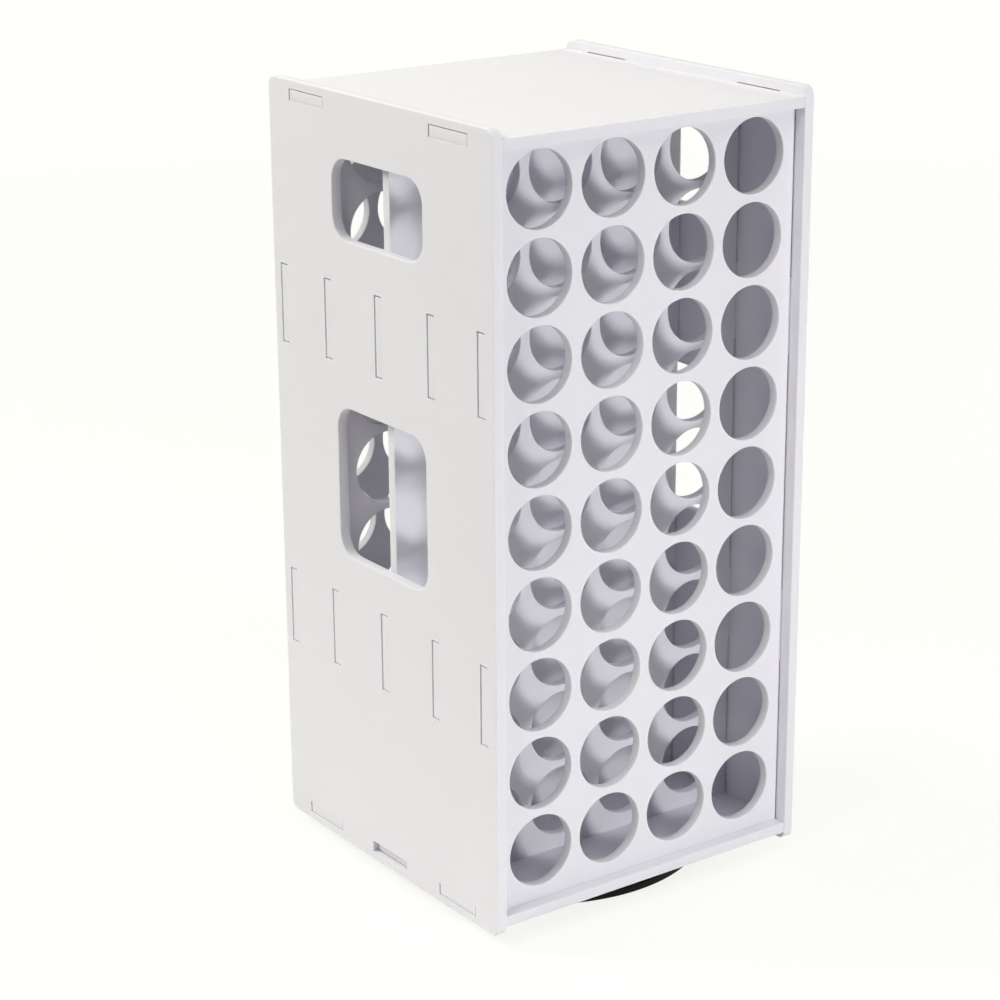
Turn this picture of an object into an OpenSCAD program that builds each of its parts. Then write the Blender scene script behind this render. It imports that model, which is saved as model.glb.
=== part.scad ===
// Rotating rack for paint bottles: tab-and-slot foam boards on a ball-bearing turntable.
// Sizes are in millimetres, +Z is up and the front hole panel faces -Y.
// The origin is on the table, on the axis that the rack turns about.

/* [Boards] */
// Thickness of every board
board_t = 5.5; // [4:0.1:8]
// How far the side panels reach above the top panel
top_rim = 4.9; // [3:0.1:10]
// How far the side panels reach below the bottom panel
bottom_rim = 4.5; // [3:0.1:8]
// Corner radius of the side panels
side_corner_r = 5; // [2:0.5:8]
// How far the top and bottom panels stop short of the side panels' front and rear edges
panel_inset = 0.5; // [0.2:0.1:3]
// Play between boards that butt together
board_play = 0.05; // [0.02:0.01:0.2]

/* [Bottle holes] */
// Diameter of a bottle hole
hole_d = 37.5; // [30:0.5:45]
// Holes across a panel
columns = 4; // [3:1:6]
// Holes up a panel
rows = 9; // [7:1:12]
// Width of board left between neighbouring holes of a row
column_web = 5.5; // [4:0.5:15]
// Width of board left between neighbouring rows
row_web = 4; // [3:0.5:15]
// Width of board left between the outer holes and the side panels
side_web = 7.25; // [4:0.25:20]
// Width of board left between the first row and the top panel
top_web = 2.6; // [2:0.1:20]
// Width of board left between the last row and the bottom panel
bottom_web = 7.5; // [2:0.5:20]

/* [Uprights] */
// How far the outer hole panels sit behind the side panels' edges
face_recess = 7; // [3:0.5:15]
// From the face of an outer hole panel to the face of the inner hole panel behind it
outer_spacing = 41; // [30:0.5:60]
// From the face of an inner hole panel to the face of the centre divider
inner_spacing = 45.25; // [35:0.25:60]
// Room between the edges of the uprights and the side panels
upright_side_gap = 0.6; // [0.1:0.1:1]

/* [Windows] */
// Height of the upper windows
upper_window_h = 40.5; // [30:0.5:44]
// Height of the lower windows
lower_window_h = 79; // [40:0.5:84]
// Corner radius of the windows
window_r = 12; // [4:0.5:14]
// Distance from the inner hole panels to the upright edges of the windows
window_inset = 3.25; // [2.5:0.25:12]

/* [Tabs and slots] */
// Length of the tabs on the uprights
upright_tab_l = 40; // [20:0.5:42]
// Length of the tabs on the top and bottom panels
panel_tab_l = 30; // [20:0.5:40]
// Distance from the middle of the rack to the outer tabs of the top and bottom panels
panel_tab_offset = 61; // [45:0.5:70]
// Room that a slot leaves behind the tab of an upright
slot_gap = 1.2; // [0.4:0.1:2]
// Room that a slot leaves above the top panel's tab or below the bottom panel's
panel_slot_gap = 0.5; // [0.2:0.1:2]
// Room that a slot leaves at each end of its tab
slot_end_gap = 0.8; // [0.2:0.1:1.5]
// How far tab ends stay inside the side panels' outer faces
tab_short = 0.3; // [0:0.1:1]
// How far the middle tabs of the bottom panel stay inside the side panels' outer faces
middle_tab_short = 3; // [0:0.1:3.5]

/* [Turntable] */
// Height of the bottom panel above the table
turntable_h = 11; // [10:0.1:16]
// Room between the turntable's rim and the side panels
turntable_gap = 2.5; // [1.5:0.5:12]
// Thickness of the fixed base
base_t = 4.2; // [3.8:0.1:5]
// Gap between the fixed base and the turning plate
plate_gap = 0.8; // [0.6:0.1:1.2]
// Chamfer round the rims of the base and the plate
rim_chamfer = 0.6; // [0.2:0.1:1]
// Depth of the hollow between the ribs under the base
hollow_depth = 0.8; // [0.4:0.1:1]
// Width of the ribs and of the wall round the hub under the base
rib_w = 2.5; // [1.5:0.1:4]
// Number of ribs under the base
ribs = 6; // [4:1:12]

/* [Bearing] */
// Diameter of a bearing ball
ball_d = 4; // [3:0.1:4.4]
// Number of balls
balls = 16; // [8:1:24]
// Diameter of the circle that the balls run on
ball_circle_d = 120; // [90:1:130]
// Room between a ball and its race
race_play = 0.15; // [0.1:0.01:0.25]
// Thickness of the ball cage
cage_t = 1.2; // [0.8:0.1:1.6]
// Width of the ball cage
cage_w = 9; // [7:0.5:12]
// Room all round the ball cage
cage_play = 0.3; // [0.2:0.05:0.5]

/* [Pivot] */
// Diameter of the pivot pin
pin_d = 8; // [6:0.5:10]
// Radial play of the turning plate on the pin
pin_play = 0.05; // [0.02:0.01:0.08]
// Width of the pin's head beyond its shank
pin_head_lip = 4; // [2:0.5:6]
// Thickness of the pin's head
pin_head_t = 1.2; // [0.8:0.1:1.6]
// Width of the washers beyond the pin
washer_lip = 5; // [3:0.5:8]
// Thickness of the washer under the push nut
pin_washer_t = 0.6; // [0.4:0.1:0.8]
// Height of the push nut
nut_t = 1; // [0.7:0.1:1.2]
// Width of the push nut's flange beyond the pin
nut_lip = 3; // [2:0.5:4]
// Thickness of the push nut's flange
nut_flange_t = 0.5; // [0.3:0.1:0.6]
// Width of the push nut's raised collar at its foot
nut_collar_w = 1.5; // [0.8:0.1:1.8]
// Width of the push nut's raised collar at its top
nut_collar_top_w = 0.3; // [0.2:0.1:0.6]
// Length of pin that stands out of the push nut
pin_tip = 0.3; // [0.1:0.1:0.6]
// Room between the pin's tip and the bottom panel
tip_room = 0.5; // [0.3:0.1:1]
// Play between washers, nut, pads and screws and what they seat in
seat_play = 0.05; // [0.02:0.01:0.1]

/* [Feet and screws] */
// Diameter of a rubber pad
pad_d = 14; // [8:0.5:20]
// Number of rubber pads
pads = 6; // [3:1:8]
// How far the pads stand out of the base
pad_stand = 1.2; // [0.6:0.1:2]
// Depth of the pads' pockets
pad_pocket = 0.8; // [0.4:0.1:1]
// Distance from the turntable's rim to the pads
pad_margin = 7; // [4:0.5:12]
// Shank diameter of the mounting screws
screw_d = 3.5; // [3:0.1:4]
// Head diameter of the mounting screws
screw_head_d = 7; // [6:0.1:9]
// Head height of the mounting screws
screw_head_h = 2.2; // [1.6:0.1:3]
// Width of the arms of the cross recess in a screw head
screw_cross_w = 1.2; // [0.8:0.1:1.6]
// Length of the arms of the cross recess in a screw head
screw_cross_l = 3.6; // [2.4:0.1:4.4]
// Depth of the cross recess in a screw head
screw_cross_depth = 1.1; // [0.5:0.1:1.3]
// Depth of the screws in the turning plate
screw_bite = 3.2; // [2:0.1:3.4]
// Room round a screw's shank in the boards and washers, and below its tip
screw_play = 0.25; // [0.1:0.05:0.5]
// Thickness of the washers under the screw heads
screw_washer_t = 0.8; // [0.5:0.1:1.2]
// Diameter of the washers under the screw heads
screw_washer_d = 11; // [9:0.5:14]
// Distance of the screws from the middle, across the rack
screw_x = 22; // [18:0.5:36]
// Distance of the screws from the middle, front to back
screw_y = 14; // [12:0.5:28]

/* [Hidden] */
$fn = 96;
// Length that cuts run past a face, and that fused shapes run into each other
overlap = 0.5;

column_pitch = hole_d + column_web;
row_pitch = hole_d + row_web;
grid_w = (columns - 1) * column_pitch + hole_d;
grid_h = (rows - 1) * row_pitch + hole_d;

inner_w = grid_w + 2 * side_web;
inner_h = grid_h + top_web + bottom_web;
rack_w = inner_w + 2 * board_t;
rack_d = 2 * (face_recess + outer_spacing + inner_spacing) + board_t;
side_h = bottom_rim + board_t + inner_h + board_t + top_rim;

// Heights above the table
side_z = turntable_h - bottom_rim;
floor_z = turntable_h + board_t;
ceiling_z = floor_z + inner_h;
grid_z = floor_z + bottom_web + grid_h / 2;

// Front faces of the five uprights, from front to back
front_y = face_recess - rack_d / 2;
inner_y = front_y + outer_spacing;
upright_y = [front_y, inner_y, -board_t / 2, -inner_y - board_t, -front_y - board_t];

// Windows and the tabs of the uprights, which sit between them
window_w = -2 * (inner_y + board_t + window_inset);
upper_window_z = grid_z + (rows - 2) / 2 * row_pitch;
upright_tab_z = (lower_window_h / 2 + upper_window_z - upper_window_h / 2 - grid_z) / 2;
panel_tab_y = [-panel_tab_offset, panel_tab_offset];

// Turntable levels and radii
turntable_r = inner_w / 2 - turntable_gap;
base_top_z = pad_stand + base_t;
plate_z = base_top_z + plate_gap;
bearing_z = (base_top_z + plate_z) / 2;
ball_circle_r = ball_circle_d / 2;
channel_h = cage_t + 2 * cage_play;
channel_w = cage_w + 2 * cage_play;
pin_r = pin_d / 2;
head_r = pin_r + pin_head_lip;
thrust_washer_t = plate_gap - 2 * seat_play;
pin_tip_z = turntable_h - tip_room;
nut_z = pin_tip_z - pin_tip - nut_t;
pin_washer_z = nut_z - seat_play - pin_washer_t;
recess_z = pin_washer_z - seat_play;
recess_r = pin_r + washer_lip + cage_play;
hollow_in_r = head_r + rib_w;
pad_circle_r = turntable_r - pad_margin - pad_d / 2;
hollow_out_r = min(ball_circle_r - channel_w / 2, pad_circle_r - pad_d / 2 - rib_w);

board_white = [0.93, 0.93, 0.93];
plastic_black = [0.05, 0.05, 0.05];
steel_grey = [0.7, 0.71, 0.73];
nylon_cream = [0.9, 0.88, 0.82];
rubber_grey = [0.12, 0.12, 0.12];

// Flat shapes that the boards are cut to

module rounded_rectangle(w, h, r) {
  square([w - 2 * r, h], center = true);
  square([w, h - 2 * r], center = true);
  for (x = [-1, 1], y = [-1, 1])
    translate([x * (w / 2 - r), y * (h / 2 - r)])
      circle(r);
}

// A rectangle between two corners
module span(low, high) {
  translate(low)
    square(high - low);
}

module hole_grid() {
  for (c = [0 : columns - 1], r = [0 : rows - 1])
    translate([(c - (columns - 1) / 2) * column_pitch, grid_z + (r - (rows - 1) / 2) * row_pitch])
      circle(d = hole_d);
}

// An upright seen from the front, with two tabs on each side
module upright_outline() {
  half_w = inner_w / 2 - upright_side_gap;
  span([-half_w, floor_z + board_play], [half_w, ceiling_z - board_play]);
  for (z = [-upright_tab_z, upright_tab_z])
    translate([0, grid_z + z])
      square([rack_w - 2 * tab_short, upright_tab_l], center = true);
}

// The top or bottom panel seen from above, with tabs at each given place
module panel_outline(tab_places) {
  square([inner_w - 2 * board_play, rack_d - 2 * panel_inset], center = true);
  for (y = tab_places)
    translate([0, y])
      square([rack_w - 2 * tab_short, panel_tab_l], center = true);
}

// Slots for the uprights: each tab sits against the front of its slot
module upright_slots() {
  half = upright_tab_l / 2 + slot_end_gap;
  for (y = upright_y, z = [grid_z - upright_tab_z, grid_z + upright_tab_z])
    span([y - board_play, z - half], [y + board_t + slot_gap, z + half]);
}

// Slots for the top panel, which lies on the bottom of its slots
module top_slots() {
  half = panel_tab_l / 2 + slot_end_gap;
  for (y = panel_tab_y)
    span([y - half, ceiling_z - board_play], [y + half, ceiling_z + board_t + panel_slot_gap]);
}

// Slots for the bottom panel, which carries the side panels by the top of their slots
module bottom_slots() {
  half = panel_tab_l / 2 + slot_end_gap;
  for (y = concat(panel_tab_y, 0))
    span([y - half, turntable_h - panel_slot_gap], [y + half, floor_z + board_play]);
}

module windows() {
  translate([0, upper_window_z])
    rounded_rectangle(window_w, upper_window_h, window_r);
  translate([0, grid_z])
    rounded_rectangle(window_w, lower_window_h, window_r);
}

// A side panel seen from the left
module side_outline() {
  difference() {
    translate([0, side_z + side_h / 2])
      rounded_rectangle(rack_d, side_h, side_corner_r);
    windows();
    upright_slots();
    top_slots();
    bottom_slots();
  }
}

// Boards

module side_panel(x) {
  color(board_white)
    translate([x, 0, 0])
      rotate([90, 0, 90])
        linear_extrude(board_t)
          side_outline();
}

module upright(y, holed) {
  color(board_white)
    translate([0, y + board_t, 0])
      rotate([90, 0, 0])
        linear_extrude(board_t)
          difference() {
            upright_outline();
            if (holed) hole_grid();
          }
}

module left_side_panel() {
  side_panel(-rack_w / 2);
}

module right_side_panel() {
  side_panel(inner_w / 2);
}

module top_panel() {
  color(board_white)
    translate([0, 0, ceiling_z])
      linear_extrude(board_t)
        panel_outline(panel_tab_y);
}

module screw_places() {
  for (x = [-screw_x, screw_x], y = [-screw_y, screw_y])
    translate([x, y])
      children();
}

// The middle tabs stop deeper in their slots than the outer ones
module bottom_panel() {
  color(board_white)
    translate([0, 0, turntable_h])
      linear_extrude(board_t)
        difference() {
          union() {
            panel_outline(panel_tab_y);
            square([rack_w - 2 * middle_tab_short, panel_tab_l], center = true);
          }
          screw_places()
            circle(screw_d / 2 + screw_play);
        }
}

module front_hole_panel() {
  upright(upright_y[0], true);
}

module front_inner_panel() {
  upright(upright_y[1], true);
}

module centre_divider() {
  upright(upright_y[2], false);
}

module rear_inner_panel() {
  upright(upright_y[3], true);
}

module rear_hole_panel() {
  upright(upright_y[4], true);
}

// Turntable: half sections turned about the spin axis

// A disc section with chamfered rims
module disc_section(bore_r, low, high) {
  c = rim_chamfer;
  polygon([
    [bore_r, low], [turntable_r - c, low], [turntable_r, low + c],
    [turntable_r, high - c], [turntable_r - c, high], [bore_r, high]
  ]);
}

// Room for the balls and their cage
module bearing_section() {
  translate([ball_circle_r, bearing_z]) {
    circle(ball_d / 2 + race_play);
    square([channel_w, channel_h], center = true);
  }
}

module base_section() {
  difference() {
    disc_section(pin_r + pin_play, pad_stand, base_top_z);
    bearing_section();
    span([0, pad_stand - overlap], [head_r + seat_play, pad_stand + pin_head_t + seat_play]);
    span([hollow_in_r, pad_stand - overlap], [hollow_out_r, pad_stand + hollow_depth]);
  }
}

module base_ribs() {
  for (i = [0 : ribs - 1])
    rotate(i * 360 / ribs)
      translate([hollow_in_r - overlap, -rib_w / 2, pad_stand])
        cube([hollow_out_r - hollow_in_r + 2 * overlap, rib_w, hollow_depth + overlap]);
}

module pad_places() {
  for (i = [0 : pads - 1])
    rotate(i * 360 / pads)
      translate([pad_circle_r, 0, 0])
        children();
}

module turntable_base() {
  color(plastic_black)
    difference() {
      union() {
        rotate_extrude()
          base_section();
        base_ribs();
      }
      pad_places()
        cylinder(d = pad_d + 2 * seat_play, h = pad_stand + pad_pocket + seat_play);
    }
}

module turntable_plate() {
  color(plastic_black)
    difference() {
      rotate_extrude()
        difference() {
          disc_section(pin_r + pin_play, plate_z, turntable_h);
          bearing_section();
          span([0, recess_z], [recess_r, turntable_h + overlap]);
        }
      translate([0, 0, turntable_h - screw_bite - screw_play])
        screw_places()
          cylinder(r = screw_d / 2 + seat_play, h = screw_bite + screw_play + overlap);
    }
}

module ball_places() {
  for (i = [0 : balls - 1])
    rotate(i * 360 / balls)
      translate([ball_circle_r, 0, bearing_z])
        children();
}

module ball_cage() {
  color(nylon_cream)
    difference() {
      rotate_extrude()
        translate([ball_circle_r, bearing_z])
          square([cage_w, cage_t], center = true);
      ball_places()
        cylinder(r = ball_d / 2 + race_play, h = 2 * cage_t, center = true);
    }
}

module bearing_balls() {
  color(steel_grey)
    ball_places()
      sphere(d = ball_d);
}

// Pivot

module pivot_pin() {
  color(steel_grey)
    rotate_extrude() {
      span([0, pad_stand], [head_r, pad_stand + pin_head_t]);
      span([0, pad_stand], [pin_r, pin_tip_z]);
    }
}

module washer(bore_r, outer_r, z, t) {
  rotate_extrude()
    span([bore_r, z], [outer_r, z + t]);
}

module thrust_washer() {
  color(nylon_cream)
    washer(pin_r + pin_play, pin_r + washer_lip, base_top_z + seat_play, thrust_washer_t);
}

module pin_washer() {
  color(steel_grey)
    washer(pin_r + pin_play, pin_r + washer_lip, pin_washer_z, pin_washer_t);
}

// A push nut with a raised collar round the pin
module push_nut() {
  bore_r = pin_r + seat_play;
  flange_z = nut_z + nut_flange_t;
  top_z = nut_z + nut_t;
  color(steel_grey)
    rotate_extrude()
      polygon([
        [bore_r, nut_z], [pin_r + nut_lip, nut_z], [pin_r + nut_lip, flange_z],
        [bore_r + nut_collar_w, flange_z], [bore_r + nut_collar_top_w, top_z], [bore_r, top_z]
      ]);
}

// Feet and screws

module base_pads() {
  color(rubber_grey)
    pad_places()
      cylinder(d = pad_d, h = pad_stand + pad_pocket);
}

// A pan-head screw standing on its washer, with a cross recess
module screw() {
  dome_r = (screw_head_d * screw_head_d / 4 + screw_head_h * screw_head_h) / (2 * screw_head_h);
  difference() {
    intersection() {
      translate([0, 0, screw_head_h - dome_r])
        sphere(dome_r);
      cylinder(d = screw_head_d, h = screw_head_h);
    }
    for (a = [0, 90])
      rotate(a)
        translate([-screw_cross_l / 2, -screw_cross_w / 2, screw_head_h - screw_cross_depth])
          cube([screw_cross_l, screw_cross_w, screw_cross_depth + overlap]);
  }
  translate([0, 0, -screw_washer_t - board_t - screw_bite])
    cylinder(d = screw_d, h = screw_washer_t + board_t + screw_bite + overlap);
}

module mounting_screws() {
  color(steel_grey)
    translate([0, 0, floor_z + screw_washer_t])
      screw_places()
        screw();
}

module screw_washers() {
  color(steel_grey)
    translate([0, 0, floor_z])
      screw_places()
        difference() {
          cylinder(d = screw_washer_d, h = screw_washer_t);
          translate([0, 0, -overlap])
            cylinder(r = screw_d / 2 + screw_play, h = screw_washer_t + 2 * overlap);
        }
}

left_side_panel();
right_side_panel();
top_panel();
bottom_panel();
front_hole_panel();
front_inner_panel();
centre_divider();
rear_inner_panel();
rear_hole_panel();
turntable_plate();
turntable_base();
ball_cage();
bearing_balls();
pivot_pin();
thrust_washer();
pin_washer();
push_nut();
base_pads();
mounting_screws();
screw_washers();
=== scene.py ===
# %% [markdown]
# # A turning rack for paint bottles
# White foam boards, cut with tabs and slots, make a two-sided rack. It stands on a black ball-bearing
# turntable. The frame holds every piece at its true size and place, so this lesson only gives the pieces
# their finish: softened cut edges, drilled rims, moulded and metal surfaces, and the light and camera of
# the photograph.

# %% Load the frame
import math

import bmesh
import bpy
from mathutils import Matrix, Vector


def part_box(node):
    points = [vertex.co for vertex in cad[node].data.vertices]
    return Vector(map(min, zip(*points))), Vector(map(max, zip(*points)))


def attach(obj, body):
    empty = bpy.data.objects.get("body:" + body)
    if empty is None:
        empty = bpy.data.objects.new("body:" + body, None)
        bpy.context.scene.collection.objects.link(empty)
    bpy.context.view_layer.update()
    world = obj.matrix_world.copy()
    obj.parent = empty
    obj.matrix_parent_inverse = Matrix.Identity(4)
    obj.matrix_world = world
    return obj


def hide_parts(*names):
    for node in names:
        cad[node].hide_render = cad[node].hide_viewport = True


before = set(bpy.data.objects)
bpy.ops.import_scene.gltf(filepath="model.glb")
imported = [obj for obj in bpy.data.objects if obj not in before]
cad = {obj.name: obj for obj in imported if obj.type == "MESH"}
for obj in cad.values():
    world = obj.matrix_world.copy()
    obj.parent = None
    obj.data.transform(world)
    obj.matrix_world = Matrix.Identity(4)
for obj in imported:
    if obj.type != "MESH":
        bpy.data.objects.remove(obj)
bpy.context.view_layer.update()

MM = 0.001

# %% [markdown]
# ## Camera
# The photograph looks down at the rack's left front corner through a long lens, from about a metre and a
# half away. A camera could be aimed at a target empty, but heading, tilt and roll are the numbers that a
# photographer would write down, so they build the camera's matrix directly. The image is square, so the
# lens is for the full width.

# %% Camera at the photograph's angle
LENS = 95.85
SENSOR = 36
HEADING = math.radians(35.65)
TILT = math.radians(18.4)
ROLL = math.radians(0.41)
CAMERA_PLACE = Vector((-777.3, -1050.0, 623.6)) * MM


def aimed_matrix(place, heading, tilt, roll):
    """A camera matrix: heading turns from +Y towards +X, tilt looks down, and roll turns the horizon."""
    right = Vector((math.cos(heading), -math.sin(heading), 0))
    level = Vector((math.sin(heading), math.cos(heading), 0))
    ahead = level * math.cos(tilt) + Vector((0, 0, -math.sin(tilt)))
    up = right.cross(ahead)
    rolled_right = right * math.cos(roll) - up * math.sin(roll)
    rolled_up = right * math.sin(roll) + up * math.cos(roll)
    turned = Matrix((rolled_right, rolled_up, -ahead)).transposed().to_4x4()
    return Matrix.Translation(place) @ turned


lens = bpy.data.cameras.new("photo_lens")
lens.lens = LENS
lens.sensor_width = SENSOR
camera = bpy.data.objects.new("photo_camera", lens)
camera.matrix_world = aimed_matrix(CAMERA_PLACE, HEADING, TILT, ROLL)
bpy.context.scene.collection.objects.link(camera)
bpy.context.scene.camera = camera
print("camera at", [round(v, 3) for v in camera.matrix_world.translation])

# %% [markdown]
# ## Helpers for node trees
# Shaders and Geometry Nodes are both trees of nodes. Writing each link by hand hides the idea behind the
# plumbing, so one helper adds a node, sets its plain values and links the sockets that are handed to it
# by name.

# %% Node helpers


def add(tree, kind, settings=None, **inputs):
    """Adds a node. An input that is a socket gets a link and any other input is set as a value."""
    node = tree.nodes.new(kind)
    for key, value in (settings or {}).items():
        setattr(node, key, value)
    for name, value in inputs.items():
        socket = next(s for s in node.inputs if s.name == name.replace("_", " ") and s.enabled)
        if isinstance(value, bpy.types.NodeSocket):
            tree.links.new(value, socket)
        else:
            socket.default_value = value
    return node


def arithmetic(tree, operation, first, second):
    """One sum, as a Math node: sockets are linked and numbers are set."""
    node = tree.nodes.new("ShaderNodeMath")
    node.operation = operation
    for socket, value in zip(node.inputs, (first, second)):
        if isinstance(value, bpy.types.NodeSocket):
            tree.links.new(value, socket)
        else:
            socket.default_value = value
    return node.outputs[0]


print("node helpers ready")

# %% [markdown]
# ## Materials
# Each finish is one Principled shader fed by a few textures on Object coordinates, which are in metres
# here, so a texture's scale is simply its number of spots per metre. Constant values go straight on the
# shader's sockets.

# %% Material helpers


def new_material(name, **values):
    """A material with one Principled shader, and the piece's own coordinates to paint with."""
    material = bpy.data.materials.new(name)
    material.use_nodes = True
    tree = material.node_tree
    tree.nodes.clear()
    shader = add(tree, "ShaderNodeBsdfPrincipled", **values)
    add(tree, "ShaderNodeOutputMaterial", Surface=shader.outputs["BSDF"])
    place = add(tree, "ShaderNodeTexCoord").outputs["Object"]
    return material, tree, shader, place


def noise(tree, place, scale, detail=2.0, roughness=0.5):
    """Soft cloudy noise from 0 to 1."""
    node = add(tree, "ShaderNodeTexNoise", Vector=place, Scale=scale, Detail=detail, Roughness=roughness)
    return node.outputs["Fac"]


def stretch(tree, place, scale):
    """The same coordinates, stretched to draw streaks."""
    return add(tree, "ShaderNodeMapping", Vector=place, Scale=scale).outputs["Vector"]


def ramp(tree, value, low, high, start=0.0, end=1.0):
    """Maps start to end of a value onto low to high, and clamps what lies outside."""
    node = add(tree, "ShaderNodeMapRange", Value=value, From_Min=start, From_Max=end,
               To_Min=low, To_Max=high)
    return node.outputs["Result"]


def blend(tree, factor, first, second):
    """A colour between two colours or colour sockets."""
    node = tree.nodes.new("ShaderNodeMix")
    node.data_type = "RGBA"
    tree.links.new(factor, node.inputs["Factor"])
    colour_inputs = [s for s in node.inputs if s.type == "RGBA"]
    for socket, colour in zip(colour_inputs, (first, second)):
        if isinstance(colour, bpy.types.NodeSocket):
            tree.links.new(colour, socket)
        else:
            socket.default_value = (*colour, 1)
    return next(s for s in node.outputs if s.type == "RGBA")


def finish_surface(tree, shader, colour, roughness, height, strength, depth):
    """Feeds the shader its colour and roughness, and a bump of the given depth in metres."""
    tree.links.new(colour, shader.inputs["Base Color"])
    tree.links.new(roughness, shader.inputs["Roughness"])
    bump = add(tree, "ShaderNodeBump", Strength=strength, Distance=depth, Height=height)
    tree.links.new(bump.outputs["Normal"], shader.inputs["Normal"])


print("material helpers ready")

# %% [markdown]
# ## Foam board
# The boards are expanded PVC: a closed white skin with a faint silky sheen, and a matt core of fine
# bubbles that shows wherever the cutter went. Two materials keep these apart. The skin has a broad,
# hardly visible mottle, a fine orange-peel bump, and patches and hairline streaks that handling has
# rubbed a little smoother or duller. Light sinks about a millimetre into the foam before it comes out
# again, so both materials have a weak subsurface glow. It softens the edges of shadows inside the holes
# and keeps the cut edges from looking like paint.

# %% Board skin
SKIN_LIGHT = (0.734, 0.722, 0.796)
SKIN_DARK = (0.710, 0.698, 0.772)
SCUFF_GREY = (0.66, 0.65, 0.70)
GLOW_DEPTH = 1.0 * MM
FOAM = {"Subsurface_Weight": 0.3, "Subsurface_Radius": (1, 1, 1), "Subsurface_Scale": GLOW_DEPTH}
MOTTLE_SCALE = 14
RUB_SCALE = 45
STREAK_SCALE = (260, 260, 14)
PEEL_SCALE = 900
PEEL_DEPTH = 0.2 * MM


def board_skin():
    material, tree, shader, place = new_material("board_skin", **FOAM)
    mottle = noise(tree, place, MOTTLE_SCALE, 4)
    rubbed = noise(tree, place, RUB_SCALE, 6, 0.65)
    streaks = noise(tree, stretch(tree, place, STREAK_SCALE), 1, 3, 0.6)
    hairlines = ramp(tree, streaks, 0, 1, 0.66, 0.8)
    scuffs = arithmetic(tree, "MULTIPLY", hairlines, ramp(tree, rubbed, 0, 1, 0.52, 0.7))
    plain = blend(tree, mottle, SKIN_DARK, SKIN_LIGHT)
    colour = blend(tree, ramp(tree, scuffs, 0, 0.45), plain, SCUFF_GREY)
    roughness = arithmetic(tree, "ADD", ramp(tree, rubbed, 0.36, 0.54), ramp(tree, scuffs, 0, 0.15))
    finish_surface(tree, shader, colour, roughness, noise(tree, place, PEEL_SCALE), 0.12, PEEL_DEPTH)
    return material


SKIN = board_skin()
print("made", SKIN.name)

# %% [markdown]
# A Voronoi texture makes round cells, like the cut bubbles of the foam. Each cell's middle, where the bump
# sinks into a hollow, gets painted shade, stronger in some patches than in others. The cutter also leaves
# faint chatter across the thickness of the board, so a finely stretched noise lies over the bubbles.

# %% Board core
CORE_WALL = (0.726, 0.714, 0.786)
# The second grey is painted shade for the hollows of the cut bubbles, not a colour of the foam.
BUBBLE_SHADE_GREY = (0.64, 0.63, 0.69)
BUBBLE_SCALE = 1900.0
CHATTER_SCALE = (900, 900, 90)
CORE_DEPTH = 0.2 * MM


def board_core():
    material, tree, shader, place = new_material("board_core", **FOAM)
    cells = add(tree, "ShaderNodeTexVoronoi", Vector=place, Scale=BUBBLE_SCALE).outputs["Distance"]
    patches = noise(tree, place, 120, 3)
    chatter = noise(tree, stretch(tree, place, CHATTER_SCALE), 1, 2)
    # Painted shade: the colour darkens towards the middle of each cell, where the bump makes a hollow, and
    # more so in some patches.
    bubble_shade = arithmetic(tree, "MULTIPLY", ramp(tree, cells, 1, 0, 0, 0.5), ramp(tree, patches, 0.1, 0.6))
    colour = blend(tree, bubble_shade, CORE_WALL, BUBBLE_SHADE_GREY)
    height = arithmetic(tree, "ADD", cells, arithmetic(tree, "MULTIPLY", chatter, 0.5))
    finish_surface(tree, shader, colour, ramp(tree, patches, 0.6, 0.8), height, 0.2, CORE_DEPTH)
    return material


CORE = board_core()
print("made", CORE.name)

# %% [markdown]
# ## Turntable finishes
# The turntable is moulded in black plastic with a fine grain, its feet are soft rubber, and the bearing
# is steel and natural nylon. They are all dark or small, so what tells them apart is gloss: the grain
# breaks the plastic's shine, the rubber has almost none, and the steel carries fine drawn lines.

# %% Black plastic and rubber
BLACK, BLACK_DUST = (0.004, 0.004, 0.005), (0.022, 0.022, 0.021)
GRAIN_SCALE, GRAIN_DEPTH = 2600, 0.1 * MM
RUBBER_DARK, RUBBER_WORN = (0.018, 0.018, 0.018), (0.05, 0.049, 0.047)
PITTING_SCALE, PITTING_DEPTH = 1500, 0.15 * MM


def moulded_black():
    material, tree, shader, place = new_material("moulded_black", Specular_IOR_Level=0.1)
    cloud = noise(tree, place, 30, 4, 0.6)
    dust = ramp(tree, noise(tree, place, 420, 5, 0.7), 0, 0.5, 0.62, 0.8)
    grain = noise(tree, place, GRAIN_SCALE)
    colour = blend(tree, dust, BLACK, BLACK_DUST)
    finish_surface(tree, shader, colour, ramp(tree, cloud, 0.42, 0.58), grain, 0.25, GRAIN_DEPTH)
    return material


def pad_rubber():
    material, tree, shader, place = new_material("pad_rubber")
    worn = noise(tree, place, 160, 5, 0.65)
    pitting = noise(tree, place, PITTING_SCALE, 3)
    colour = blend(tree, worn, RUBBER_DARK, RUBBER_WORN)
    finish_surface(tree, shader, colour, ramp(tree, worn, 0.72, 0.9), pitting, 0.3, PITTING_DEPTH)
    return material


PLASTIC = moulded_black()
RUBBER = pad_rubber()
print("made", PLASTIC.name, RUBBER.name)

# %% [markdown]
# Turned steel has fine lines round its axis, and zinc plate an even, finer grain. One function makes
# both: it only stretches its noise differently. Nylon in its natural state is a warm, milky white with a
# faint cloud in it.

# %% Steel and nylon
LINE_DEPTH = 0.05 * MM
TURNED_LINES = (300, 300, 6000)
PLATED_GRAIN = (2500, 2500, 2500)
NYLON_DARK, NYLON_LIGHT = (0.74, 0.71, 0.63), (0.82, 0.80, 0.73)
NYLON_SCALE, NYLON_DEPTH = 1800, 0.1 * MM


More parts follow.
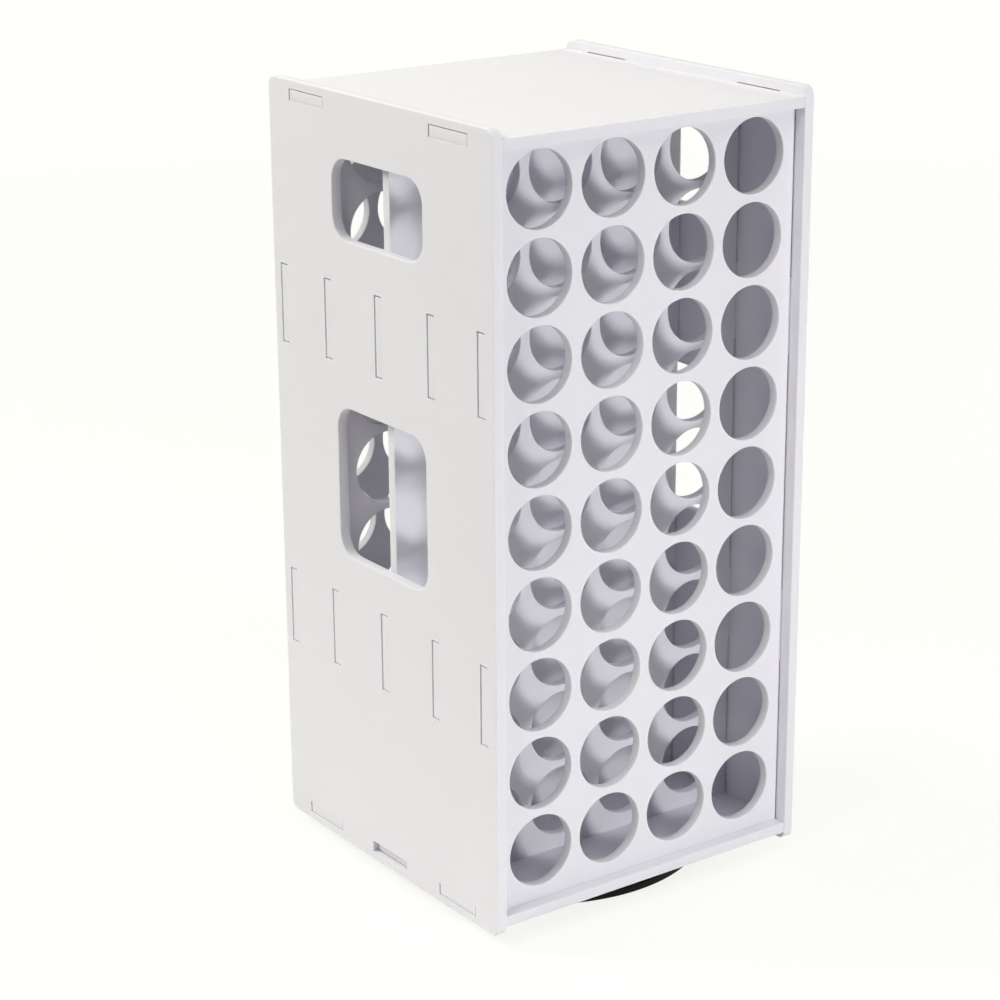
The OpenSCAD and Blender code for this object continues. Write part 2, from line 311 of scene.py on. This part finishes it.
def drawn_steel(name, colour_low, colour_high, line_scale):
    material, tree, shader, place = new_material(name, Metallic=1.0)
    lines = noise(tree, stretch(tree, place, line_scale), 1, 3, 0.6)
    stain = noise(tree, place, 220, 4)
    colour = blend(tree, stain, colour_low, colour_high)
    finish_surface(tree, shader, colour, ramp(tree, lines, 0.2, 0.42), lines, 0.15, LINE_DEPTH)
    return material


def natural_nylon():
    material, tree, shader, place = new_material("natural_nylon")
    cloud = noise(tree, place, 150, 3)
    grain = noise(tree, place, NYLON_SCALE)
    colour = blend(tree, cloud, NYLON_DARK, NYLON_LIGHT)
    finish_surface(tree, shader, colour, ramp(tree, cloud, 0.36, 0.5), grain, 0.15, NYLON_DEPTH)
    return material


STEEL = drawn_steel("turned_steel", (0.52, 0.53, 0.55), (0.66, 0.67, 0.69), TURNED_LINES)
ZINC = drawn_steel("zinc_plate", (0.55, 0.56, 0.58), (0.72, 0.72, 0.70), PLATED_GRAIN)
NYLON = natural_nylon()
print("made", STEEL.name, ZINC.name, NYLON.name)

# %% [markdown]
# ## Sizes of the boards
# The boards' thickness and places are read from the frame. The hole grid, the windows and the fit of tabs
# in their slots aren't in a bounding box, so they are named here, in millimetres, as the maker of the
# rack would list them.

# %% Board sizes
side_low, side_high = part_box("left_side_panel")
THICK = side_high.x - side_low.x
HALF_WIDTH = -side_low.x
HOLE_PANELS = ["front_hole_panel", "front_inner_panel", "rear_inner_panel", "rear_hole_panel"]
UPRIGHTS = HOLE_PANELS[:2] + ["centre_divider"] + HOLE_PANELS[2:]

COLUMNS, ROWS = 4, 9
HOLE_D = 37.5 * MM
COLUMN_PITCH = HOLE_D + 5.5 * MM
ROW_PITCH = HOLE_D + 4 * MM
TOP_WEB = 2.6 * MM
GRID_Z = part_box("top_panel")[0].z - TOP_WEB - HOLE_D / 2 - (ROWS - 1) / 2 * ROW_PITCH

CORNER_R = 5 * MM
WINDOW_R = 12 * MM
WINDOW_HALF = -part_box("front_inner_panel")[1].y - 3.25 * MM
UPPER_WINDOW_HALF = 20.25 * MM
LOWER_WINDOW_HALF = 39.5 * MM
UPPER_WINDOW_Z = GRID_Z + (ROWS - 2) / 2 * ROW_PITCH

UPRIGHT_TAB = 40 * MM
UPRIGHT_TAB_Z = (LOWER_WINDOW_HALF + UPPER_WINDOW_Z - UPPER_WINDOW_HALF - GRID_Z) / 2
PANEL_TAB = 30 * MM
PANEL_TAB_Y = 61 * MM
UPRIGHT_SIDE_GAP = 0.6 * MM
SLOT_GAP = 0.9 * MM
PANEL_SLOT_GAP = 0.5 * MM
SLOT_END_GAP = 0.8 * MM
PLAY = 0.05 * MM
TAB_SHORT = 0.3 * MM
MIDDLE_TAB_SHORT = 3 * MM
print("board thickness", round(THICK / MM, 2), "mm; middle row at", round(GRID_Z / MM, 2), "mm")

# %% [markdown]
# ## Outlines
# A board is a flat outline with cut-outs, so each one is drawn first as closed loops of points. The outer
# loop runs anticlockwise and the cut-outs clockwise: the material is then always on the left hand, which
# tells the next step which way an edge rounds over.

# %% Loops of points
ARC_STEPS = 10
HOLE_STEPS = 72


def rectangle(low, high):
    return [Vector(low), Vector((high[0], low[1])), Vector(high), Vector((low[0], high[1]))]


def rounded(centre, half_w, half_h, r):
    """A rectangle with round corners, as four arcs."""
    loop = []
    for quarter, (sx, sy) in enumerate(((1, 1), (-1, 1), (-1, -1), (1, -1))):
        middle = Vector((centre[0] + sx * (half_w - r), centre[1] + sy * (half_h - r)))
        for step in range(ARC_STEPS + 1):
            turn = (quarter + step / ARC_STEPS) * math.pi / 2
            loop.append(middle + r * Vector((math.cos(turn), math.sin(turn))))
    return loop


def circle(centre, r, steps):
    turns = (2 * math.pi * i / steps for i in range(steps))
    return [Vector((centre[0] + r * math.cos(a), centre[1] + r * math.sin(a))) for a in turns]


def with_tabs(half_w, low, high, tabs):
    """A rectangle with tabs on both sides. Each is its middle, its length and its reach from the centre."""
    right = [Vector((half_w, low))]
    for middle, length, reach in sorted(tabs):
        start, end = middle - length / 2, middle + length / 2
        tab = ((half_w, start), (reach, start), (reach, end), (half_w, end))
        right += [Vector(corner) for corner in tab]
    right.append(Vector((half_w, high)))
    return right + [Vector((-p.x, p.y)) for p in reversed(right)]


print("loops ready")

# %% [markdown]
# ## Cut boards
# The plain boards could be made with a Boolean and a Bevel, but long cuts beside thin slots make both of
# them stumble. Instead each loop becomes a ribbon that goes over the front arris, down the cut face and
# over the back arris, and the two skins are filled between the ribbons. Skin and cut edge then get their
# own materials at no extra cost.

# %% Ribbons and skins
ARRIS = 0.45 * MM
SLOT_ARRIS = 0.12 * MM
ARRIS_STEPS = 3
SHARP_CORNER = math.radians(40)


def inward(loop):
    """At each point, the step that moves both edges there one unit to the left, into the material."""
    steps = []
    for i, point in enumerate(loop):
        before = (point - loop[i - 1]).normalized()
        after = (loop[(i + 1) % len(loop)] - point).normalized()
        left_before, left_after = Vector((-before.y, before.x)), Vector((-after.y, after.x))
        steps.append((left_before + left_after) / (1 + left_before.dot(left_after)))
    return steps


def arris_profile(radius):
    """From the front skin to the back: pairs of distance into the board and height above its middle."""
    quarter = [math.pi / 2 * i / ARRIS_STEPS for i in range(ARRIS_STEPS + 1)]
    front = [(radius * (1 - math.sin(a)), THICK / 2 - radius * (1 - math.cos(a))) for a in quarter]
    return front + [(inset, -height) for inset, height in reversed(front)]


def cut_board(name, outline, outline_arris, cuts, place):
    """A board from its outline and its cuts, which are loops with an arris radius, moved to its place."""
    bm = bmesh.new()
    skins = ([], [])
    for loop, radius in [(outline, outline_arris)] + [(list(reversed(cut)), r) for cut, r in cuts]:
        steps = inward(loop)
        rings = []
        for inset, height in arris_profile(radius):
            rings.append([bm.verts.new((*(p + s * inset), height)) for p, s in zip(loop, steps)])
        for upper, lower in zip(rings, rings[1:]):
            for i in range(len(loop)):
                face = bm.faces.new((upper[i - 1], lower[i - 1], lower[i], upper[i]))
                face.material_index = 1
        for skin, ring in zip(skins, (rings[0], rings[-1])):
            skin += [bm.edges.get((ring[i - 1], ring[i])) for i in range(len(ring))]
    for skin in skins:
        bmesh.ops.triangle_fill(bm, use_beauty=True, use_dissolve=False, edges=skin)
    bmesh.ops.recalc_face_normals(bm, faces=bm.faces)
    open_edges = sum(not e.is_manifold for e in bm.edges)
    mesh = bpy.data.meshes.new(name)
    bm.to_mesh(mesh)
    bm.free()
    mesh.transform(place)
    mesh.set_sharp_from_angle(angle=SHARP_CORNER)
    for face in mesh.polygons:
        face.use_smooth = face.material_index == 1
    mesh.materials.append(SKIN)
    mesh.materials.append(CORE)
    board = bpy.data.objects.new(name, mesh)
    bpy.context.scene.collection.objects.link(board)
    print(name, len(mesh.polygons), "faces,", open_edges, "open edges")
    return board


def seat(piece, node, body):
    """The piece stands for a node of the frame, and moves with its body."""
    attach(piece, body)
    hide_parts(node)


print("board maker ready")

# %% [markdown]
# ## Side panels
# Both side panels have the same cut-outs: two windows, ten upright slots, and slots for the top and
# bottom panels. The slots are read off the boards that they hold. Every slot leaves room on one side of
# its tab, and this thin dark gap is what makes the joints of the real rack visible.

# %% Cut the side panels


def side_cuts():
    cuts = [(rounded((0, UPPER_WINDOW_Z), WINDOW_HALF, UPPER_WINDOW_HALF, WINDOW_R), ARRIS),
            (rounded((0, GRID_Z), WINDOW_HALF, LOWER_WINDOW_HALF, WINDOW_R), ARRIS)]
    half = UPRIGHT_TAB / 2 + SLOT_END_GAP
    for upright in UPRIGHTS:
        low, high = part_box(upright)
        for z in (GRID_Z - UPRIGHT_TAB_Z, GRID_Z + UPRIGHT_TAB_Z):
            slot = rectangle((low.y - PLAY, z - half), (high.y + SLOT_GAP, z + half))
            cuts.append((slot, SLOT_ARRIS))
    half = PANEL_TAB / 2 + SLOT_END_GAP
    low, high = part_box("top_panel")
    for y in (-PANEL_TAB_Y, PANEL_TAB_Y):
        slot = rectangle((y - half, low.z - PLAY), (y + half, high.z + PANEL_SLOT_GAP))
        cuts.append((slot, SLOT_ARRIS))
    low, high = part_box("bottom_panel")
    for y in (-PANEL_TAB_Y, 0, PANEL_TAB_Y):
        slot = rectangle((y - half, low.z - PANEL_SLOT_GAP), (y + half, high.z + PLAY))
        cuts.append((slot, SLOT_ARRIS))
    return cuts


ALONG_Y_Z = Matrix(((0, 0, 1, 0), (1, 0, 0, 0), (0, 1, 0, 0), (0, 0, 0, 1)))
for node in ("left_side_panel", "right_side_panel"):
    low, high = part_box(node)
    middle = (low + high) / 2
    outline = rounded((middle.y, middle.z), (high.y - low.y) / 2, (high.z - low.z) / 2, CORNER_R)
    place = Matrix.Translation((middle.x, 0, 0)) @ ALONG_Y_Z
    seat(cut_board(node + "_board", outline, ARRIS, side_cuts(), place), node, "rack")

# %% [markdown]
# ## Top panel, bottom panel and centre divider
# These three are rectangles with tabs. The top panel lies between the side panels with two tabs a side.
# The bottom panel has three a side, of which the middle ones stop short in their slots, and holes for the
# turntable's screws.

# %% Cut the plain boards
SCREW_HOLE_R = 2 * MM
SCREW_HEAD_R = 3.5 * MM
SCREW_STEPS = 24


def level_board(node, tabs, holes):
    low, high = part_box(node)
    outline = with_tabs(HALF_WIDTH - THICK - PLAY, low.y, high.y, tabs)
    place = Matrix.Translation((0, 0, (low.z + high.z) / 2))
    seat(cut_board(node + "_board", outline, SLOT_ARRIS, holes, place), node, "rack")


reach = HALF_WIDTH - TAB_SHORT
outer_tabs = [(-PANEL_TAB_Y, PANEL_TAB, reach), (PANEL_TAB_Y, PANEL_TAB, reach)]
middle_tab = (0, PANEL_TAB, HALF_WIDTH - MIDDLE_TAB_SHORT)
screw_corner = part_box("mounting_screws")[1]
screw_x, screw_y = screw_corner.x - SCREW_HEAD_R, screw_corner.y - SCREW_HEAD_R
screw_places = [(x, y) for x in (-screw_x, screw_x) for y in (-screw_y, screw_y)]
screw_holes = [(circle(p, SCREW_HOLE_R, SCREW_STEPS), SLOT_ARRIS) for p in screw_places]
level_board("top_panel", outer_tabs, [])
level_board("bottom_panel", outer_tabs + [middle_tab], screw_holes)

ALONG_X_Z = Matrix(((1, 0, 0, 0), (0, 0, -1, 0), (0, 1, 0, 0), (0, 0, 0, 1)))
upright_tabs = [(GRID_Z + z, UPRIGHT_TAB, reach) for z in (-UPRIGHT_TAB_Z, UPRIGHT_TAB_Z)]
low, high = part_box("centre_divider")
UPRIGHT_HALF = HALF_WIDTH - THICK - UPRIGHT_SIDE_GAP
outline = with_tabs(UPRIGHT_HALF, low.z, high.z, upright_tabs)
place = Matrix.Translation((0, (low.y + high.y) / 2, 0)) @ ALONG_X_Z
divider = cut_board("centre_divider_board", outline, SLOT_ARRIS, [], place)
seat(divider, "centre_divider", "rack")

# %% [markdown]
# ## Hole panels
# Four boards carry the same grid of drilled holes, and a rule like that is what Geometry Nodes are for.
# The tree takes the board's outline as its own geometry. It fills the space between the outline and a
# grid of circles for the two skins, and sweeps a profile round a circle for the wall of one hole, which
# is then copied to every point of the grid.

# %% Perforated board tree
WELD = 0.01 * MM


def new_tree(name, **inputs):
    """A Geometry Nodes tree that takes geometry and named inputs, and gives geometry."""
    tree = bpy.data.node_groups.new(name, "GeometryNodeTree")
    tree.interface.new_socket("Geometry", in_out="INPUT", socket_type="NodeSocketGeometry")
    for label, kind in inputs.items():
        socket_name = label.replace("_", " ")
        tree.interface.new_socket(socket_name, in_out="INPUT", socket_type="NodeSocket" + kind)
    tree.interface.new_socket("Geometry", in_out="OUTPUT", socket_type="NodeSocketGeometry")
    return tree, tree.nodes.new("NodeGroupInput").outputs, tree.nodes.new("NodeGroupOutput").inputs[0]


def joined(tree, *parts):
    node = tree.nodes.new("GeometryNodeJoinGeometry")
    for part in parts:
        tree.links.new(part, node.inputs[0])
    return node.outputs[0]


def moved(tree, part, z):
    offset = add(tree, "ShaderNodeCombineXYZ", Z=z).outputs[0]
    return add(tree, "GeometryNodeTransform", Geometry=part, Translation=offset).outputs[0]


def hole_wall(tree, size):
    """The wall of one hole: an arris, the cut face and the other arris, each swept round a circle."""
    flat = arithmetic(tree, "SUBTRACT", arithmetic(tree, "DIVIDE", size["Thickness"], 2), size["Arris"])
    down = arithmetic(tree, "MULTIPLY", flat, -1)
    path = add(tree, "GeometryNodeCurvePrimitiveCircle", Resolution=size["Steps"],
               Radius=size["Hole Radius"])
    start = add(tree, "ShaderNodeCombineXYZ", Y=flat).outputs[0]
    end = add(tree, "ShaderNodeCombineXYZ", Y=down).outputs[0]
    profiles = [add(tree, "GeometryNodeCurvePrimitiveLine", Start=start, End=end).outputs[0]]
    for y, angle in ((flat, math.pi / 2), (down, math.pi)):
        arc = add(tree, "GeometryNodeCurveArc", {"mode": "RADIUS"}, Resolution=ARRIS_STEPS + 1,
                  Radius=size["Arris"], Start_Angle=angle, Sweep_Angle=math.pi / 2).outputs["Curve"]
        centre = add(tree, "ShaderNodeCombineXYZ", X=size["Arris"], Y=y).outputs[0]
        profiles.append(add(tree, "GeometryNodeTransform", Geometry=arc, Translation=centre).outputs[0])
    sweeps = []
    for profile in profiles:
        sweep = add(tree, "GeometryNodeCurveToMesh", Curve=path.outputs[0], Profile_Curve=profile)
        sweeps.append(sweep.outputs[0])
    return joined(tree, *sweeps)


def perforated_board():
    tree, size, result = new_tree(
        "perforated_board", Thickness="Float", Hole_Radius="Float", Arris="Float", Columns="Int",
        Rows="Int", Column_Pitch="Float", Row_Pitch="Float", Steps="Int", Skin="Material",
        Core="Material")
    column_gaps = arithmetic(tree, "SUBTRACT", size["Columns"], 1)
    row_gaps = arithmetic(tree, "SUBTRACT", size["Rows"], 1)
    width = arithmetic(tree, "MULTIPLY", size["Column Pitch"], column_gaps)
    height = arithmetic(tree, "MULTIPLY", size["Row Pitch"], row_gaps)
    grid = add(tree, "GeometryNodeMeshGrid", Size_X=width, Size_Y=height, Vertices_X=size["Columns"],
               Vertices_Y=size["Rows"]).outputs["Mesh"]
    rim_r = arithmetic(tree, "ADD", size["Hole Radius"], size["Arris"])
    rim = add(tree, "GeometryNodeCurvePrimitiveCircle", Resolution=size["Steps"], Radius=rim_r).outputs[0]
    rims = add(tree, "GeometryNodeInstanceOnPoints", Points=grid, Instance=rim).outputs[0]
    rims = add(tree, "GeometryNodeRealizeInstances", Geometry=rims).outputs[0]
    edge = add(tree, "GeometryNodeMeshToCurve", Mesh=size["Geometry"]).outputs[0]
    sheet = add(tree, "GeometryNodeFillCurve", Curve=joined(tree, edge, rims)).outputs[0]

    half = arithmetic(tree, "DIVIDE", size["Thickness"], 2)
    down = arithmetic(tree, "MULTIPLY", half, -1)
    back = add(tree, "GeometryNodeFlipFaces", Mesh=moved(tree, sheet, down)).outputs[0]
    skins = joined(tree, moved(tree, sheet, half), back)
    skins = add(tree, "GeometryNodeSetMaterial", Geometry=skins, Material=size["Skin"]).outputs[0]

    top = add(tree, "ShaderNodeCombineXYZ", Y=down).outputs[0]
    bottom = add(tree, "ShaderNodeCombineXYZ", Y=half).outputs[0]
    upright = add(tree, "GeometryNodeCurvePrimitiveLine", Start=top, End=bottom).outputs[0]
    rim_face = add(tree, "GeometryNodeCurveToMesh", Curve=edge, Profile_Curve=upright).outputs[0]
    rim_face = add(tree, "GeometryNodeSetShadeSmooth", Geometry=rim_face, Shade_Smooth=False).outputs[0]
    wall = hole_wall(tree, size)
    wall = add(tree, "GeometryNodeSetShadeSmooth", Geometry=wall, Shade_Smooth=True).outputs[0]
    walls = add(tree, "GeometryNodeInstanceOnPoints", Points=grid, Instance=wall).outputs[0]
    walls = add(tree, "GeometryNodeRealizeInstances", Geometry=walls).outputs[0]
    cuts = joined(tree, walls, rim_face)
    cuts = add(tree, "GeometryNodeSetMaterial", Geometry=cuts, Material=size["Core"]).outputs[0]

    whole = joined(tree, skins, cuts)
    whole = add(tree, "GeometryNodeMergeByDistance", Geometry=whole, Distance=WELD).outputs[0]
    tree.links.new(whole, result)
    return tree


PERFORATED = perforated_board()
print("tree", PERFORATED.name, "with", len(PERFORATED.nodes), "nodes")

# %% [markdown]
# A tree runs as a modifier on some start mesh. Its inputs are set by their socket's identifier before
# anything is evaluated. The result is then copied to a plain mesh and the modifier is removed, so that
# the finished piece is nothing but geometry with its materials.

# %% Run a tree to a plain mesh


def run_tree(tree, name, start_mesh, **inputs):
    """Evaluates the tree on a mesh and keeps the result as a plain mesh whose faces point outwards."""
    holder = bpy.data.objects.new(name + "_holder", start_mesh)
    bpy.context.scene.collection.objects.link(holder)
    modifier = holder.modifiers.new(tree.name, "NODES")
    modifier.node_group = tree
    sockets = {s.name: s.identifier for s in tree.interface.items_tree if s.in_out == "INPUT"}
    for label, value in inputs.items():
        modifier[sockets[label.replace("_", " ")]] = value
    shown = holder.evaluated_get(bpy.context.evaluated_depsgraph_get())
    mesh = bpy.data.meshes.new_from_object(shown)
    holder.modifiers.remove(modifier)
    bpy.data.objects.remove(holder)
    bm = bmesh.new()
    bm.from_mesh(mesh)
    bmesh.ops.recalc_face_normals(bm, faces=bm.faces)
    open_edges = sum(not e.is_manifold for e in bm.edges)
    bm.to_mesh(mesh)
    bm.free()
    mesh.name = name
    print(name, len(mesh.polygons), "faces,", open_edges, "open edges")
    return mesh


def loop_mesh(name, loop):
    mesh = bpy.data.meshes.new(name)
    count = len(loop)
    mesh.from_pydata([(p.x, p.y, 0) for p in loop], [(i, (i + 1) % count) for i in range(count)], [])
    return mesh


def show(name, mesh):
    piece = bpy.data.objects.new(name, mesh)
    bpy.context.scene.collection.objects.link(piece)
    return piece


print("tree runner ready")

# %% [markdown]
# The four panels are alike, so the tree runs once, about the middle of the grid, and each panel is a copy
# of its mesh moved to the place of its node. The place goes into the mesh and the object stays at the
# origin.

# %% Drill the hole panels
low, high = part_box("front_hole_panel")
tabs_on_grid = [(z, UPRIGHT_TAB, reach) for z in (-UPRIGHT_TAB_Z, UPRIGHT_TAB_Z)]
outline = with_tabs(UPRIGHT_HALF, low.z - GRID_Z, high.z - GRID_Z, tabs_on_grid)
panel_edge = loop_mesh("panel_edge", outline)
panel_mesh = run_tree(
    PERFORATED, "hole_panel", panel_edge, Thickness=THICK, Hole_Radius=HOLE_D / 2, Arris=ARRIS,
    Columns=COLUMNS, Rows=ROWS, Column_Pitch=COLUMN_PITCH, Row_Pitch=ROW_PITCH, Steps=HOLE_STEPS,
    Skin=SKIN, Core=CORE)
for node in HOLE_PANELS:
    low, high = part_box(node)
    mesh = panel_mesh.copy()
    mesh.transform(Matrix.Translation((0, (low.y + high.y) / 2, GRID_Z)) @ ALONG_X_Z)
    seat(show(node + "_board", mesh), node, "rack")

# %% [markdown]
# ## Turntable
# The disc, plate, cage, pin, nut, screws and washers keep the solids of the frame: their turned shapes are
# already exact, so they only need a finish. Each takes its material in place of the plain one that came
# with the frame.

# %% Finish the turned pieces


def dress(node, material):
    cad[node].data.materials.clear()
    cad[node].data.materials.append(material)


for node in ("turntable_base", "turntable_plate"):
    dress(node, PLASTIC)
for node in ("pivot_pin", "pin_washer", "push_nut"):
    dress(node, STEEL)
for node in ("mounting_screws", "screw_washers"):
    dress(node, ZINC)
for node in ("ball_cage", "thrust_washer"):
    dress(node, NYLON)
print("dressed", [o.name for o in cad.values() if o.data.materials[0] in (PLASTIC, STEEL, ZINC, NYLON)])

# %% [markdown]
# ## Balls and feet
# The bearing's steel balls and the turntable's rubber feet are both rings of one turned piece, so one
# small tree makes the two of them. It sets a copy on every point of a circle. The first point lies on +X,
# as it does in the frame.

# %% Ring tree


def ring_of_copies():
    tree, size, result = new_tree("ring_of_copies", Count="Int", Ring_Radius="Float", Finish="Material")
    ring = add(tree, "GeometryNodeMeshCircle", Vertices=size["Count"], Radius=size["Ring Radius"])
    copies = add(tree, "GeometryNodeInstanceOnPoints", Points=ring.outputs[0],
                 Instance=size["Geometry"]).outputs[0]
    solid = add(tree, "GeometryNodeRealizeInstances", Geometry=copies).outputs[0]
    painted = add(tree, "GeometryNodeSetMaterial", Geometry=solid, Material=size["Finish"]).outputs[0]
    tree.links.new(painted, result)
    return tree


def turned_mesh(name, profile, steps):
    """A solid of revolution. The profile is pairs of radius and height, and begins and ends on the axis."""
    bm = bmesh.new()
    rings = []
    for r, z in profile[1:-1]:
        rings.append([bm.verts.new((p.x, p.y, z)) for p in circle((0, 0), r, steps)])
    ends = [bm.verts.new((0, 0, z)) for _, z in (profile[0], profile[-1])]
    for i in range(steps):
        bm.faces.new((ends[0], rings[0][i], rings[0][i - 1]))
        bm.faces.new((ends[1], rings[-1][i - 1], rings[-1][i]))
        for lower, upper in zip(rings, rings[1:]):
            bm.faces.new((lower[i - 1], lower[i], upper[i], upper[i - 1]))
    mesh = bpy.data.meshes.new(name)
    bm.to_mesh(mesh)
    bm.free()
    mesh.set_sharp_from_angle(angle=SHARP_CORNER)
    return mesh


RING = ring_of_copies()
print("tree", RING.name, "with", len(RING.nodes), "nodes")

# %% [markdown]
# A ball is half a circle turned about its axis. A foot is a flat disc with a rounded lower rim and a
# shallow dished sole: a sole that is moulded flat can bulge a little and rock on its middle.

# %% Balls and feet
BALLS, FEET = 16, 6
FOOT_R = 7 * MM
FOOT_RIM = 0.7 * MM
FOOT_DISH = 0.25 * MM
BALL_STEPS = 32
FOOT_STEPS = 48
RIM_STEPS = 6


def ball_profile(r, steps):
    turns = [math.pi * i / steps - math.pi / 2 for i in range(steps + 1)]
    return [(r * math.cos(a), r * math.sin(a)) for a in turns]


def foot_profile(height):
    flat = FOOT_R - FOOT_RIM
    turns = [math.pi / 2 * i / RIM_STEPS for i in range(RIM_STEPS + 1)]
    rim = [(flat + FOOT_RIM * math.sin(a), FOOT_RIM * (1 - math.cos(a))) for a in turns]
    sole = [(0, FOOT_DISH), (flat * 0.5, FOOT_DISH * 0.8), (flat * 0.8, 0)]
    return sole + rim + [(FOOT_R, height), (0, height)]


low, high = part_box("bearing_balls")
ball_r = (high.z - low.z) / 2
ball = turned_mesh("ball", ball_profile(ball_r, BALL_STEPS // 2), BALL_STEPS)
balls = run_tree(RING, "ball_ring", ball, Count=BALLS, Ring_Radius=high.x - ball_r, Finish=STEEL)
balls.transform(Matrix.Translation((0, 0, low.z + ball_r)))
seat(show("bearing_ball_ring", balls), "bearing_balls", "bearing")

low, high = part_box("base_pads")
foot = turned_mesh("foot", foot_profile(high.z - low.z), FOOT_STEPS)
feet = run_tree(RING, "foot_ring", foot, Count=FEET, Ring_Radius=high.x - FOOT_R, Finish=RUBBER)
feet.transform(Matrix.Translation((0, 0, low.z)))
seat(show("base_pad_ring", feet), "base_pads", "base")

# %% [markdown]
# ## Light and floor
# The rack stands in a white studio under six soft boxes. The one in front is small, a little to the right
# and level with the upper rows: it shines through the holes and leaves round spots on the centre divider.
# The boxes above it, overhead and at the rear make the top the brightest side. The others stand well away
# to the left and right, so that the sides are lit evenly from top to bottom. A single bright sky would be
# simpler, but it fills every hole with the same grey. The level of a box is the light that reaches the
# rack from it, counted as for a sun lamp. The boxes are hidden from the camera and from the gloss,
# because a board that mirrors one at a glancing angle would burn out to white.

# %% Soft boxes
RACK_MIDDLE = Vector((0, 0, 0.2))


def soft_box(name, place, size, level, colour):
    """A square lamp aimed at the middle of the rack, with the power for a level of light there."""
    lamp = bpy.data.lights.new(name, "AREA")
    lamp.shape = "SQUARE"
    lamp.size = size
    lamp.color = colour
    aim = Vector(place) - RACK_MIDDLE
    lamp.energy = level * math.pi * aim.length_squared
    box = bpy.data.objects.new(name, lamp)
    box.location = place
    box.rotation_euler = aim.to_track_quat("Z", "Y").to_euler()
    box.visible_camera = False
    box.visible_glossy = False
    bpy.context.scene.collection.objects.link(box)


PLAIN = (1.0, 1.0, 0.96)
WARM = (1.0, 1.0, 0.885)
soft_box("overhead_box", (0, 0, 1.75), 1.0, 0.82, WARM)
soft_box("front_box", (0.22, -1.1, 0.355), 0.18, 1.58, PLAIN)
soft_box("high_front_box", (0, -1.3, 1.8), 0.8, 0.47, PLAIN)
soft_box("left_box", (-1.4, -0.45, 1.35), 0.6, 1.1, WARM)
soft_box("rear_left_box", (-1.3, 1.5, 1.8), 1.2, 2.6, WARM)
soft_box("right_box", (2.0, 0, 0.5), 1.0, 2.0, PLAIN)

# %% [markdown]
# The backdrop is white wherever it is looked at, also in the gloss of the steel, but it sends no light to
# the rack. The Light Path node tells these two apart. The floor does the same. To the eye it is mostly a
# white glow, with a share of real paint left in it near the rack, which keeps a faint shadow to stand on.
# For the light that bounces off it, the floor is a pale sheet under the rack that fades to the grey of
# the studio, or the rows low on the rack would be lit as strongly from below as from above.

# %% Backdrop and floor
BACKDROP = (1.0, 0.995, 0.965, 1)
FILL = 0.0
FLOOR_REACH = 9
FLOOR_WHITE = (0.955, 0.955, 0.945, 1)
SHEET_WHITE, SHEET_R = 0.88, 0.45
STUDIO_GREY, STUDIO_R = 0.3, 0.75
FLOOR_GLOW, HORIZON_R = 0.85, 2.0


def looked_at(tree):
    """1 for rays of the camera and those seen in gloss or through glass, 0 for rays that carry light."""
    path = add(tree, "ShaderNodeLightPath").outputs
    gloss = arithmetic(tree, "MAXIMUM", path["Is Glossy Ray"], path["Is Transmission Ray"])
    return arithmetic(tree, "MAXIMUM", path["Is Camera Ray"], gloss)


def mixed(tree, factor, first, second):
    mix = tree.nodes.new("ShaderNodeMixShader")
    for socket, source in zip(mix.inputs, (factor, first, second)):
        tree.links.new(source, socket)
    return mix.outputs[0]


def studio_world():
    world = bpy.data.worlds.new("studio")
    world.use_nodes = True
    tree = world.node_tree
    tree.nodes.clear()
    light = add(tree, "ShaderNodeBackground", Color=(1, 1, 1, 1), Strength=FILL).outputs[0]
    white = add(tree, "ShaderNodeBackground", Color=BACKDROP, Strength=1.0).outputs[0]
    add(tree, "ShaderNodeOutputWorld", Surface=mixed(tree, looked_at(tree), light, white))
    bpy.context.scene.world = world


def floor_paint():
    material = bpy.data.materials.new("floor_paint")
    material.use_nodes = True
    tree = material.node_tree
    tree.nodes.clear()
    place = add(tree, "ShaderNodeTexCoord").outputs["Object"]
    away = add(tree, "ShaderNodeVectorMath", {"operation": "LENGTH"}, Vector=place).outputs["Value"]
    shade = ramp(tree, away, SHEET_WHITE, STUDIO_GREY, SHEET_R, STUDIO_R)
    grey = add(tree, "ShaderNodeBsdfDiffuse", Color=shade).outputs[0]
    white = add(tree, "ShaderNodeBsdfDiffuse", Color=FLOOR_WHITE).outputs[0]
    glow = add(tree, "ShaderNodeEmission", Color=BACKDROP, Strength=1.0).outputs[0]
    seen = mixed(tree, ramp(tree, away, FLOOR_GLOW, 1, SHEET_R, HORIZON_R), white, glow)
    add(tree, "ShaderNodeOutputMaterial", Surface=mixed(tree, looked_at(tree), grey, seen))
    return material


studio_world()
corners = [(-FLOOR_REACH, -FLOOR_REACH, 0), (FLOOR_REACH, -FLOOR_REACH, 0),
           (FLOOR_REACH, FLOOR_REACH, 0), (-FLOOR_REACH, FLOOR_REACH, 0)]
floor_mesh = bpy.data.meshes.new("floor")
floor_mesh.from_pydata(corners, [], [(0, 1, 2, 3)])
floor_mesh.materials.append(floor_paint())
show("floor", floor_mesh)
print("world", bpy.context.scene.world.name, "and floor", FLOOR_REACH * 2, "m wide")

# %% [markdown]
# ## Finish
# The view transform is Standard, so that a colour renders about as it is written.

bpy.context.scene.view_settings.view_transform = "Standard"
